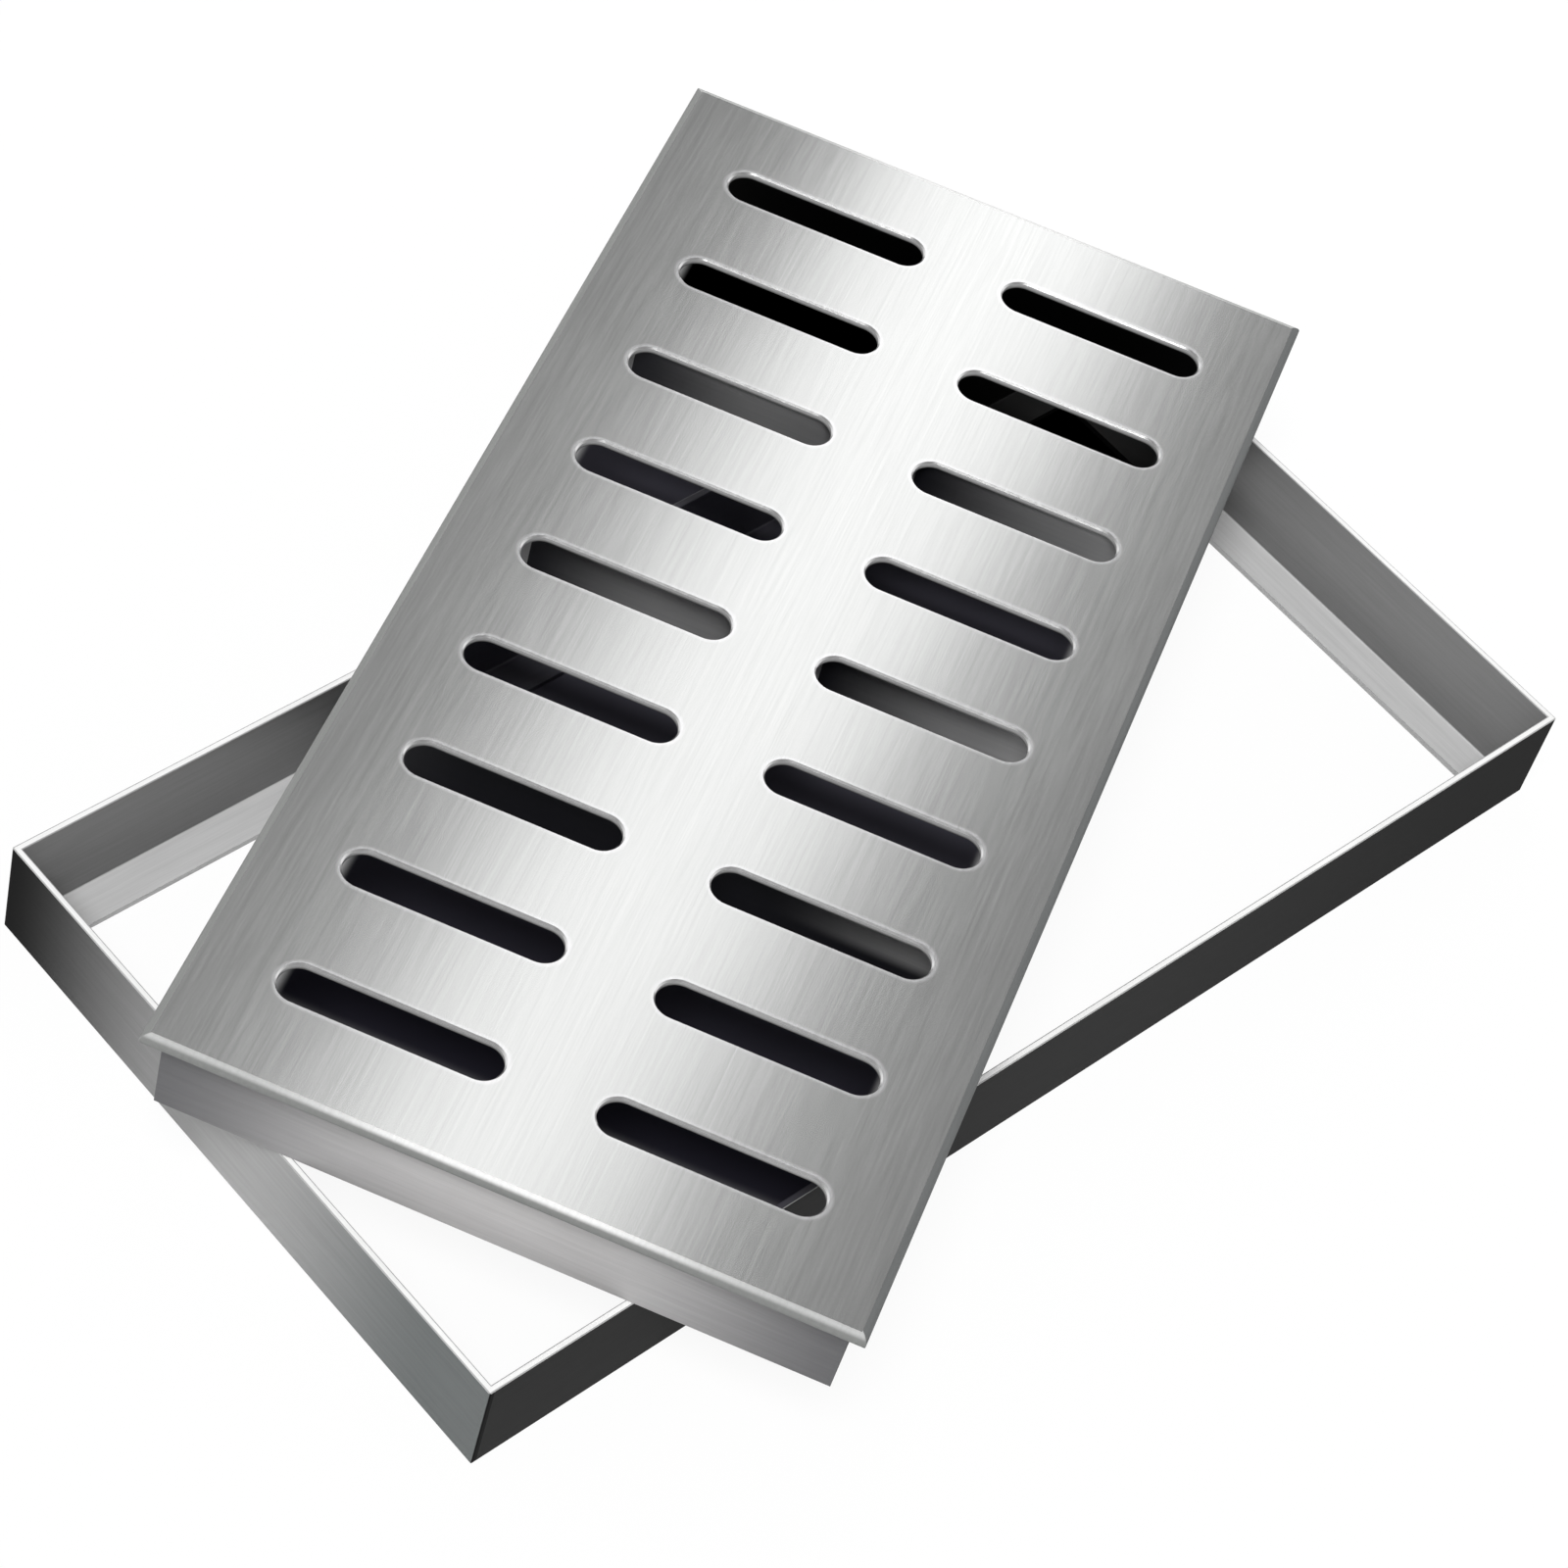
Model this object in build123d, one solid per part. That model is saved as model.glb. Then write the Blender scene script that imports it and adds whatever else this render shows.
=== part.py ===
"""A slotted stainless steel gutter cover lying crosswise on the angle frame that it drops into.

Millimetres, +Z up. The origin is on the floor, straight below the middle of the cover.
Every piece is first made in the place that it has in its own assembly. The frame is then moved
to its place on the floor, and the cover is turned and laid flat on the frame's rim.
"""
import os

from build123d import *

# The frame: sheet grooved and folded to a sharp angle, mitred at the corners and welded.
frame_length = 500.0
frame_width = 250.0
frame_height = 42.0
frame_sheet = 2.5
frame_root_radius = 0.8
frame_heel_round = 0.6
rim_round = 0.4
seam_width = 2.0
seam_round = 0.8

# How the cover fits the frame when it is seated: flush with the rim, standing on the ledge.
side_clearance = 1.0
ledge_margin = 4.5

# The cover's top sheet, with its edges folded under.
cover_sheet_thickness = 2.5
hem_gap = 0.5
hem_clearance = 0.5

# The slots: two columns, with a solid bridge between them.
slot_rows = 9
slot_width = 15.0
slot_side_margin = 28.5
slot_end_margin = 34.0
slot_bridge = 32.0
slot_edge_break = 0.6

# The flat bars on edge below the sheet: the skirt all round, and the ribs across.
bar_thickness = 3.0
bar_edge_round = 0.4
skirt_inset = 6.0
rib_raise = 5.0
rib_setback = 5.5
rib_creep = 4.5

# The fillet welds inside the cover.
weld_leg = 3.0
weld_end_gap = 3.0
stitch_length = 24.0

# How the cover lies on the frame: turned, and shifted from the frame's middle.
cover_turn = 28.7
cover_shift_x = -4.5
cover_shift_y = 33.4

# What follows for the frame and its ledge.
ledge_reach = side_clearance + skirt_inset + bar_thickness + ledge_margin
angle_foot = frame_sheet + ledge_reach

# What follows for the cover: it fills the frame's inside, less the clearance.
cover_length = frame_length - 2 * (frame_sheet + side_clearance)
cover_width = frame_width - 2 * (frame_sheet + side_clearance)
cover_height = frame_height - frame_sheet
skirt_depth = cover_height - cover_sheet_thickness
hem_height = 2 * cover_sheet_thickness + hem_gap
hem_width = skirt_inset - hem_clearance
skirt_length = cover_length - 2 * skirt_inset
skirt_width = cover_width - 2 * skirt_inset
skirt_inner_length = skirt_length - 2 * bar_thickness
skirt_inner_width = skirt_width - 2 * bar_thickness

# What follows for the slots and the ribs that stand between their rows.
slot_length = (cover_width - 2 * slot_side_margin - slot_bridge) / 2
slot_column_pitch = slot_length + slot_bridge
slot_row_pitch = (cover_length - 2 * slot_end_margin - slot_width) / (slot_rows - 1)
middle_row_x = (slot_rows // 2 - (slot_rows - 1) / 2) * slot_row_pitch
middle_rib_x = middle_row_x + slot_width / 2 + rib_setback + bar_thickness / 2
rib_pitch = 2 * slot_row_pitch - rib_creep
rib_depth = skirt_depth - rib_raise
RIBS = {"near": middle_rib_x - rib_pitch, "middle": middle_rib_x, "far": middle_rib_x + rib_pitch}

# The sides of a rectangle: the turn that brings a piece made for the side towards -Y, where X runs
# along the piece and +Y points inwards, to each of the others.
FRAME_SIDES = {"side_near": 0, "end_right": 90, "side_far": 180, "end_left": -90}
SKIRT_SIDES = {"right": 0, "far": 90, "left": 180, "near": -90}

# The corners of a rectangle, by their signs along X and Y: the turn that brings a piece made for the
# first of them, where both axes point inwards, to each of the others.
CORNER_TURNS = {(-1, -1): 0, (1, -1): 90, (1, 1): 180, (-1, 1): -90}
FRAME_CORNERS = {"near_left": (-1, -1), "near_right": (1, -1), "far_right": (1, 1), "far_left": (-1, 1)}
SKIRT_CORNERS = {"near_right": (-1, -1), "far_right": (1, -1), "far_left": (1, 1), "near_left": (-1, 1)}

frame_place = Pos(-cover_shift_x, -cover_shift_y, 0)
cover_place = Pos(0, 0, frame_height) * Rot(0, 0, cover_turn)


def corner_place(length, width, signs):
    """The corner of a centred rectangle with these signs, turned so that X and Y point inwards."""
    sign_x, sign_y = signs
    return Pos(sign_x * length / 2, sign_y * width / 2, 0) * Rot(0, 0, CORNER_TURNS[signs])


def rounded_corner(face, corner, radius):
    """The face with the corner nearest to a point rounded."""
    nearest = face.vertices().sort_by_distance(corner)[0]
    return fillet(nearest, radius)


def angle_section():
    """The folded angle's section: wall up Y = 0 to frame_sheet, ledge along the foot, rounded rim."""
    section = Polygon(
        (0, 0),
        (angle_foot, 0),
        (angle_foot, frame_sheet),
        (frame_sheet, frame_sheet),
        (frame_sheet, frame_height),
        (0, frame_height),
        align=None,
    )
    section = rounded_corner(section, (0, 0), frame_heel_round)
    section = rounded_corner(section, (frame_sheet, frame_sheet), frame_root_radius)
    section = rounded_corner(section, (0, frame_height), rim_round)
    return rounded_corner(section, (frame_sheet, frame_height), rim_round)


def angle_run(length):
    """The angle along X, centred, with square ends."""
    return extrude(Plane.YZ * angle_section(), length / 2, both=True)


def corner_column():
    """The square column at an outer corner that the weld fills, on +X and +Y, from floor to rim."""
    return Box(seam_width, seam_width, frame_height, align=(Align.MIN, Align.MIN, Align.MIN))


def frame_member(length):
    """One side of the frame: an angle mitred at both ends, cut back where the corner welds go."""
    mitre = Polygon(
        (-length / 2, 0),
        (length / 2, 0),
        (length / 2 - angle_foot, angle_foot),
        (-length / 2 + angle_foot, angle_foot),
        align=None,
    )
    member = angle_run(length) & extrude(mitre, frame_height)
    member -= Pos(-length / 2, 0, 0) * corner_column()
    member -= Pos(length / 2 - seam_width, 0, 0) * corner_column()
    return member


def frame_corner_weld():
    """The seam at an outer corner, ground flush: what both angles would hold of the corner's column."""
    along = Pos(angle_foot, 0, 0) * angle_run(2 * angle_foot)
    across = Pos(0, angle_foot, 0) * Rot(0, 0, 90) * mirror(angle_run(2 * angle_foot), Plane.XZ)
    column = corner_column()
    outer_edge = column.edges().filter_by(Axis.Z).sort_by_distance((0, 0, 0))[0]
    return along & across & fillet(outer_edge, seam_round)


def rounded_slab(length, width, thickness):
    """A slab centred on the origin whose four edges are full rounds, mitred at the corners."""
    along = extrude(Plane.YZ * SlotOverall(width, thickness), length / 2, both=True)
    across = extrude(Plane.XZ * SlotOverall(length, thickness), width / 2, both=True)
    return along & across


def cover_sheet():
    """The top sheet: hemmed on all four edges, slotted, with the slots' upper edges broken."""
    hem_middle = cover_height - hem_height / 2
    inner_length = cover_length - 2 * cover_sheet_thickness
    inner_width = cover_width - 2 * cover_sheet_thickness
    folded = rounded_slab(cover_length, cover_width, hem_height)
    folded -= rounded_slab(inner_length, inner_width, hem_gap)
    sheet = Pos(0, 0, hem_middle) * folded
    below = Box(
        cover_length - 2 * hem_width,
        cover_width - 2 * hem_width,
        hem_height,
        align=(Align.CENTER, Align.CENTER, Align.MAX),
    )
    sheet -= Pos(0, 0, skirt_depth) * below
    slot = SlotOverall(slot_length, slot_width, rotation=90)
    slots = Sketch() + GridLocations(slot_row_pitch, slot_column_pitch, slot_rows, 2) * slot
    sheet -= Pos(0, 0, skirt_depth) * extrude(slots, hem_height)
    upper = sheet.edges().group_by(Axis.Z)[-1]
    reach_x = cover_length / 2 - hem_width
    reach_y = cover_width / 2 - hem_width
    upper = upper.filter_by_position(Axis.X, -reach_x, reach_x)
    upper = upper.filter_by_position(Axis.Y, -reach_y, reach_y)
    return chamfer(upper, slot_edge_break)


def skirt_bar(length):
    """A mitred flat bar on edge along X: outer face away from +Y, inner face on Y = 0."""
    plan = Polygon(
        (-length / 2, -bar_thickness),
        (length / 2, -bar_thickness),
        (length / 2 - bar_thickness, 0),
        (-length / 2 + bar_thickness, 0),
        align=None,
    )
    bar = extrude(plan, skirt_depth)
    foot = bar.edges().group_by(Axis.Z)[0].filter_by(Axis.X)
    return fillet(foot, bar_edge_round)


def skirt_seat(side):
    """Where a skirt side's inner face stands: X along the bar, +Y inwards, Z up from its foot."""
    across = skirt_inner_width if side in ("left", "right") else skirt_inner_length
    return Rot(0, 0, SKIRT_SIDES[side]) * Pos(0, -across / 2, 0)


def cross_rib():
    """A flat bar on edge across the cover, between the long skirt bars and under the sheet."""
    rib = Pos(0, 0, rib_raise) * Box(
        bar_thickness,
        skirt_inner_width,
        rib_depth,
        align=(Align.CENTER, Align.CENTER, Align.MIN),
    )
    foot = rib.edges().group_by(Axis.Z)[0].filter_by(Axis.Y)
    return fillet(foot, bar_edge_round)


def bead(length):
    """A fillet weld along X in the corner between the plane Y = 0 and the plane Z = 0 above it."""
    triangle = Polygon((0, 0), (weld_leg, 0), (0, -weld_leg), align=None)
    return extrude(Plane.YZ * triangle, length / 2, both=True)


def upright_bead(bottom, top):
    """A fillet weld up the corner between the planes X = 0 and Y = 0, on their positive sides."""
    triangle = Polygon((0, 0), (weld_leg, 0), (0, weld_leg), align=None)
    return Pos(0, 0, bottom) * extrude(triangle, top - bottom)


def skirt_corner_weld():
    """The weld inside a skirt corner, from just above the bars' feet to just below the sheet."""
    return upright_bead(weld_end_gap, skirt_depth - weld_end_gap)


def stitch_places(side):
    """Where a skirt bar is stitched: the middle of each bay between ribs, or thirds of a short bar."""
    if side in ("near", "far"):
        return [step * skirt_inner_width / 3 for step in (-1, 0, 1)]
    stops = [-skirt_inner_length / 2, *RIBS.values(), skirt_inner_length / 2]
    places = [(low + high) / 2 for low, high in zip(stops, stops[1:])]
    return places if side == "right" else [-place for place in places]


def skirt_stitches(side):
    """The stitch welds in the corner between one skirt bar and the underside of the sheet."""
    stitches = [Pos(place, 0, skirt_depth) * bead(stitch_length) for place in stitch_places(side)]
    return skirt_seat(side) * Compound(children=stitches)


def rib_welds(rib_x):
    """A rib's welds: up its ends against the skirt, and along the sheet below bridge and slots."""
    far_face = rib_x + bar_thickness / 2
    near_face = rib_x - bar_thickness / 2
    upright = upright_bead(rib_raise + weld_end_gap, skirt_depth - weld_end_gap)
    welds = []
    for end in (-1, 1):
        corner_y = end * skirt_inner_width / 2
        far_turn = 0 if end < 0 else -90
        near_turn = 90 if end < 0 else 180
        welds.append(Pos(far_face, corner_y, 0) * Rot(0, 0, far_turn) * upright)
        welds.append(Pos(near_face, corner_y, 0) * Rot(0, 0, near_turn) * upright)
    for column in (-1, 0, 1):
        place = Pos(far_face, column * slot_column_pitch / 2, skirt_depth)
        welds.append(place * Rot(0, 0, -90) * bead(stitch_length))
    return Compound(children=welds)


def frame_pieces():
    """Every piece of the frame, by name, around the frame's own middle."""
    pieces = {}
    for side, turn in FRAME_SIDES.items():
        along = frame_length if side.startswith("side") else frame_width
        across = frame_width if side.startswith("side") else frame_length
        pieces["frame_" + side] = Rot(0, 0, turn) * Pos(0, -across / 2, 0) * frame_member(along)
    for corner, signs in FRAME_CORNERS.items():
        place = corner_place(frame_length, frame_width, signs)
        pieces["frame_corner_weld_" + corner] = place * frame_corner_weld()
    return pieces


def cover_pieces():
    """Every piece of the cover, by name, standing on Z = 0 with the near end towards -X."""
    pieces = {"cover_sheet": cover_sheet()}
    for side in SKIRT_SIDES:
        along = skirt_length if side in ("left", "right") else skirt_width
        pieces["skirt_bar_" + side] = skirt_seat(side) * skirt_bar(along)
        pieces["skirt_stitch_welds_" + side] = skirt_stitches(side)
    for corner, signs in SKIRT_CORNERS.items():
        place = corner_place(skirt_inner_length, skirt_inner_width, signs)
        pieces["skirt_corner_weld_" + corner] = place * skirt_corner_weld()
    for rib, rib_x in RIBS.items():
        pieces["cross_rib_" + rib] = Pos(rib_x, 0, 0) * cross_rib()
        pieces["cross_rib_welds_" + rib] = rib_welds(rib_x)
    return pieces


def main():
    os.makedirs("parts", exist_ok=True)
    for name, piece in frame_pieces().items():
        export_step(frame_place * piece, f"parts/{name}.step")
    for name, piece in cover_pieces().items():
        export_step(cover_place * piece, f"parts/{name}.step")


if __name__ == "__main__":
    main()
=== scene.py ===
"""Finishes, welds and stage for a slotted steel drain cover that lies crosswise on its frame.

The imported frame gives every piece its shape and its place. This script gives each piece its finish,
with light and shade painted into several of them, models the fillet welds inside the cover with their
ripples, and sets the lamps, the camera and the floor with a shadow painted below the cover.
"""

import math

import bpy
import numpy as np
from bpy.props import FloatProperty, FloatVectorProperty, PointerProperty
from bpy.types import Operator, Panel, PropertyGroup
from mathutils import Matrix, Vector


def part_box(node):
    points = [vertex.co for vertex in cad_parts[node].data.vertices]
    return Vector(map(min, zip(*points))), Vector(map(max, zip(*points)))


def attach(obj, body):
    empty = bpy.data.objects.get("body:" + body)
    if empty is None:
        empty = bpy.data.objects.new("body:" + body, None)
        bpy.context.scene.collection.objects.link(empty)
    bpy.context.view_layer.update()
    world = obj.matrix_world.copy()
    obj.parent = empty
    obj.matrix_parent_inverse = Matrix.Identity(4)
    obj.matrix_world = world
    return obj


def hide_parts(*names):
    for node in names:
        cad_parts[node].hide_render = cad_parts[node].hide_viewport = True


bl_info = {
    "name": "Drain cover finishes",
    "version": (1, 0, 0),
    "blender": (4, 5, 0),
    "location": "3D View > Sidebar > Drain cover",
    "description": "Finishes, rippled welds and a stage for a slotted drain cover on its frame",
    "category": "Object",
}

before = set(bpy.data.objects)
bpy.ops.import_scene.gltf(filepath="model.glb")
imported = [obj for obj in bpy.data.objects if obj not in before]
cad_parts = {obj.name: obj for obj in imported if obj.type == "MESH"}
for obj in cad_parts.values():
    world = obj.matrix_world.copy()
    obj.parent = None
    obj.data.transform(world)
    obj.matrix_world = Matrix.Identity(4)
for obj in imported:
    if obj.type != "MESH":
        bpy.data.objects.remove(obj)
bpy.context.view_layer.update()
BODY = "root"

FRAME_SIDES = ("frame_side_near", "frame_side_far")
FRAME_ENDS = ("frame_end_left", "frame_end_right")
FRAME_WELDS = tuple(
    f"frame_corner_weld_{end}_{side}" for end in ("near", "far") for side in ("left", "right")
)
SKIRT_LONG = ("skirt_bar_left", "skirt_bar_right")
SKIRT_SHORT = ("skirt_bar_near", "skirt_bar_far")
RIBS = ("cross_rib_near", "cross_rib_middle", "cross_rib_far")
WELDS = (
    *(f"skirt_corner_weld_{end}_{side}" for end in ("near", "far") for side in ("left", "right")),
    *(f"skirt_stitch_welds_{side}" for side in ("near", "far", "left", "right")),
    *(f"cross_rib_welds_{rib}" for rib in ("near", "middle", "far")),
)
UP = Vector((0, 0, 1))
QUARTER_TURN = math.pi / 2
BLACK = (0.0, 0.0, 0.0)
WHITE = (1.0, 1.0, 1.0)


def middle(*nodes):
    """The middle of the box that holds these nodes."""
    corners = np.array([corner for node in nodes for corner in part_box(node)])
    return Vector((corners.min(axis=0) + corners.max(axis=0)) / 2)


RIM_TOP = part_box("frame_side_near")[1].z
COVER_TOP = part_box("cover_sheet")[1].z
COVER_MIDDLE = Vector((*middle("cover_sheet").xy, COVER_TOP))
FRAME_MIDDLE = middle(*FRAME_SIDES, *FRAME_ENDS)
FRAME_HALF_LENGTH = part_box("frame_end_right")[1].x - FRAME_MIDDLE.x
FRAME_HALF_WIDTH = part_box("frame_side_far")[1].y - FRAME_MIDDLE.y
COVER_ALONG = (middle("skirt_bar_far") - middle("skirt_bar_near")).normalized()
COVER_ACROSS = UP.cross(COVER_ALONG)
COVER_TURN = math.atan2(COVER_ALONG.y, COVER_ALONG.x)
RIB_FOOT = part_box("cross_rib_middle")[0].z

# Sizes in metres that no box gives. The frame's sheet and the width of the cover's hems:
LEDGE_TOP = 0.0025
RIM_WIDTH = 0.0025
HEM_REACH = 0.006
# The slots: from row to row, from the cover's middle line to a column's, half of a slot's
# straight part, and the radius of its ends.
SLOT_PITCH = 0.05125
SLOT_COLUMN = 0.0545
SLOT_STRAIGHT = 0.031
SLOT_RADIUS = 0.0075


def half_span(node, direction):
    """Half of a node's extent along a direction."""
    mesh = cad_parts[node].data
    points = np.empty(3 * len(mesh.vertices))
    mesh.vertices.foreach_get("co", points)
    return float(np.ptp(points.reshape(-1, 3) @ np.array(direction))) / 2


COVER_HALF_LENGTH = half_span("cover_sheet", COVER_ALONG)
COVER_HALF_WIDTH = half_span("cover_sheet", COVER_ACROSS)

# The masks of the finishes, each from where it starts to where it is full.
# Cosines between the way that a face points and a direction:
LEVEL = (0.996, 0.9998)
UPWARD = (0.3, 0.8)
STEEP_EDGE = (0.3, 0.6)
FLAT_EDGE = (0.9, 0.97)
ABOVE = (-0.6, -0.4)
FOLD = (0.5, 0.98)
SIDEWAYS = (0.4, 0.8)
# The way that a face points times its place, in metres:
OUTER_FACE = (0.02, 0.06)
OUTER_BAR_FACE = (0.0, 0.1)
# Places on the cover, in metres from its middle, its edge or a slot's edge:
MITRE_LINE = (-0.0002, 0.0002)
HEM_LINE = (-HEM_REACH, 0.0005 - HEM_REACH)
# Where the painted highlight on the end folds fades, and where the right fold's painted shade meets
# the left's:
HEM_HIGHLIGHT_FADE = (0.02, 0.09)
LEFT_HALF = (-0.01, 0.01)
# The painted highlight rings round the slots: their width, and where they brighten towards the sides:
RING_FADE = (0.0008, 0.0024)
OUTER_RING = (0.045, 0.095)
# Heights over which the slots' cut walls go from painted black shade to their lit top:
LIT_WALL = (COVER_TOP - 0.003, COVER_TOP - 0.0012)
OUTER_SKIN = (-0.001, -0.0005)
# Places on the frame, in metres from the floor or from its outer edge:
RIM_HEIGHT = (RIM_TOP - 0.002, RIM_TOP - 0.001)
RIM_OUTER_EDGE = (0.0003, 0.0006)
RIM_INNER_EDGE = (RIM_WIDTH - 0.0006, RIM_WIDTH - 0.0003)
LEDGE_HEIGHT = (LEDGE_TOP - 0.0001, LEDGE_TOP)
# Places along the cover at which the painted shadow's tone changes, and at which it leaves the frame:
SHADE_NEAR_FADE = (-0.16, 0.02)
SHADE_BLACK = (0.14, 0.2)
SHADE_OFF_FRAME = (COVER_HALF_LENGTH - 0.003, COVER_HALF_LENGTH + 0.012)
# The painted light on the ribs: from a slot's right end to its left one, by height, and by rib.
RIB_RUN = (0.0, 0.055)
RIB_HEIGHT = (RIB_FOOT + 0.005, RIB_FOOT + 0.012)
FAR_RIB = (0.03, 0.08)
NEAR_RIB = (-0.03, -0.08)
NEAR_RIB_DARK = (-0.1, -0.03)

# How much painted light the middle rib gets, and how much less the far one.
RIB_LIGHT = 0.9
FAR_RIB_LOSS = 0.3
# How much of the painted shadow's tone the frame takes below the cover.
FRAME_SHADE = 0.97
# The share of the frame's half width over which its left end's painted light and shade changes to its
# near tone.
END_NEAR_REACH = 0.8
# The dull share of faces that aren't polished: the sheet, the frame's inner walls and the skirt.
SHEET_DULL, INNER_DULL, SHORT_BAR_DULL, LONG_BAR_DULL = 0.9, 0.5, 0.95, 0.9
# How metallic the frame's walls are, and its rim and ledge.
WALL_METALLIC, TOP_METALLIC = 0.9, 0.1
# The shares of the grain's three noises in its tone, and in its roughness.
STREAK_SHARE, FINE_SHARE, CLOUD_SHARE = 0.5, 0.3, 0.2
STREAK_ROUGH, CLOUD_ROUGH = 0.04, 0.05
# What a dull surface is.
MATT = {"Roughness": 0.6, "Specular IOR Level": 0.04}

STEPS_PER_RIPPLE = 6
POINTS_ACROSS_BEAD = 11
SAME_POINT_DIGITS = 6
SKY_FADE_DEGREES = (8, 38)
FLOOR_REACH = 30.0

# The Mix node keeps its colours in these sockets.
MIX_FIRST, MIX_SECOND, MIX_RESULT = 6, 7, 2


def colour_property(name, description, default):
    """A colour that the user can change."""
    limits = {"subtype": "COLOR", "size": 3, "min": 0.0, "max": 1.0}
    return FloatVectorProperty(name=name, description=description, default=default, **limits)


def number_property(name, description, default, **limits):
    """A number that the user can change."""
    return FloatProperty(name=name, description=description, default=default, **limits)


def length_property(name, description, default):
    """A length in metres that the user can change."""
    return number_property(name, description, default, min=0.0, precision=5, unit="LENGTH")


def angle_property(name, description, default):
    """An angle in radians that the user can change."""
    return number_property(name, description, default, subtype="ANGLE")


def point_property(name, description, default):
    """A point in metres that the user can change."""
    kind = {"subtype": "TRANSLATION", "unit": "LENGTH", "size": 3}
    return FloatVectorProperty(name=name, description=description, default=default, **kind)


class GrainSettings(PropertyGroup):
    """The brushing that every sheet and bar carries."""

    line_length: length_property("Line length", "Length of one brushed line", 0.05)
    line_width: length_property("Line width", "Width of one brushed line", 0.0004)
    streak_length: length_property(
        "Streak length", "Length of the streaks that lines gather in", 0.03
    )
    streak_width: length_property(
        "Streak width", "Width of the streaks that lines gather in", 0.0015
    )
    cloud: length_property("Cloud size", "Size of the dull patches left by handling", 0.1)
    depth: length_property("Depth", "Depth of the brushed lines", 0.0000015)
    contrast: FloatProperty(
        name="Contrast", description="How far the streaks leave the mean tone", default=0.22,
        subtype="FACTOR",
    )


class ColourSettings(PropertyGroup):
    """The tone of each piece, some with painted light and shade."""

    cover: colour_property("Cover", "Brushed top sheet", (0.62, 0.625, 0.62))
    slot_edge: colour_property("Slot edges", "Bare edges round the slots", (0.8, 0.8, 0.8))
    # Painted shade: the slot walls go black below their top.
    slot_wall: colour_property("Slot walls", "Cut walls of the slots at their top", (0.5, 0.5, 0.5))
    # Painted highlights: bright rings round the slots, brighter at their outer ends.
    slot_ring: colour_property(
        "Slot rings", "Worn rings at the slots' outer ends", (0.95, 0.95, 0.96)
    )
    slot_ring_middle: colour_property(
        "Slot rings, middle", "Worn rings elsewhere", (0.7, 0.7, 0.705)
    )
    # Painted light and shade on the folds: end folds darker than the top, a painted highlight where
    # they start, brightest in the middle, and the right fold darker than the left.
    hem_end: colour_property("End hems", "Folded edges at the cover's ends", (0.21, 0.215, 0.21))
    hem_highlight: colour_property(
        "End hems, top", "Start of the fold at the cover's ends", (0.5, 0.505, 0.5)
    )
    hem_highlight_middle: colour_property(
        "End hems, middle", "Start of the fold in the middle of an end", (0.87, 0.87, 0.865)
    )
    hem_left: colour_property(
        "Left hem", "Folded edge along the cover's left side", (0.26, 0.265, 0.26)
    )
    hem_right: colour_property(
        "Right hem", "Folded edge along the cover's right side", (0.15, 0.155, 0.155)
    )
    # Painted shade: the underside of the sheet is dark.
    cover_under: colour_property("Underside", "Unpolished underside of the sheet", (0.2, 0.2, 0.2))
    # Painted light and shade on the frame's faces: a near-white rim with darker rounded edges, a
    # lighter ledge, near-black outer walls, darker still at their right end, and a painted gradient
    # along the ends' outer walls.
    rim: colour_property("Rim", "Ground top of the frame", (0.97, 0.97, 0.965))
    rim_edge: colour_property("Rim edges", "Rounded edges of the rim", (0.4, 0.4, 0.4))
    inside: colour_property("Inside", "Inner walls of the frame", (0.24, 0.24, 0.24))
    ledge: colour_property("Ledge", "Ledge along the frame's foot", (0.6, 0.6, 0.6))
    ledge_edge: colour_property("Ledge edge", "Cut edge of the ledge", (0.42, 0.42, 0.42))
    outside: colour_property("Outside", "Outer walls of the long sides", (0.022, 0.022, 0.022))
    outside_right: colour_property(
        "Outside, right", "Outer walls at their right end", (0.006, 0.006, 0.006)
    )
    end_far: colour_property(
        "Left end, far", "Left end's outer wall at its far corner", (0.003, 0.003, 0.003)
    )
    end_middle: colour_property(
        "Left end, middle", "Left end's outer wall in its middle", (0.36, 0.36, 0.36)
    )
    end_near: colour_property(
        "Left end, near", "Left end's outer wall at its near corner", (0.145, 0.155, 0.155)
    )
    seam: colour_property("Seams", "Ground corner seams of the frame", (0.002, 0.002, 0.002))
    # Painted light and shade on the skirt: a painted highlight in the middle of the end bars' outer
    # faces, near-black inner faces of the end bars, and dark outer faces of the long bars.
    skirt: colour_property("Skirt", "Flat bars round the cover", (0.13, 0.13, 0.135))
    skirt_middle: colour_property(
        "Skirt middle", "Lighter middle of the short bars", (0.57, 0.56, 0.56)
    )
    skirt_side: colour_property(
        "Skirt sides", "Outer faces of the long bars", (0.045, 0.045, 0.045)
    )
    skirt_inside: colour_property(
        "Skirt inside", "Inner faces of the short bars", (0.004, 0.004, 0.004)
    )
    # Painted light and shade on the ribs: lit below the slots' right ends, dark elsewhere.
    rib: colour_property("Ribs", "Bars under the sheet", (0.62, 0.62, 0.62))
    rib_dark: colour_property(
        "Ribs, dark", "Bars under the sheet where they are dark", (0.02, 0.02, 0.026)
    )
    weld: colour_property("Welds", "Fillet welds inside the cover", (0.3, 0.3, 0.31))
    floor: colour_property("Floor", "Floor of the stage", (0.97, 0.97, 0.97))
    # The painted shadow on the floor and the frame below the cover.
    shade: colour_property(
        "Shade", "Floor and frame below the cover's middle", (0.095, 0.092, 0.117)
    )
    shade_near: colour_property(
        "Shade, near", "Floor and frame below the cover's near end", (0.036, 0.034, 0.05)
    )


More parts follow.
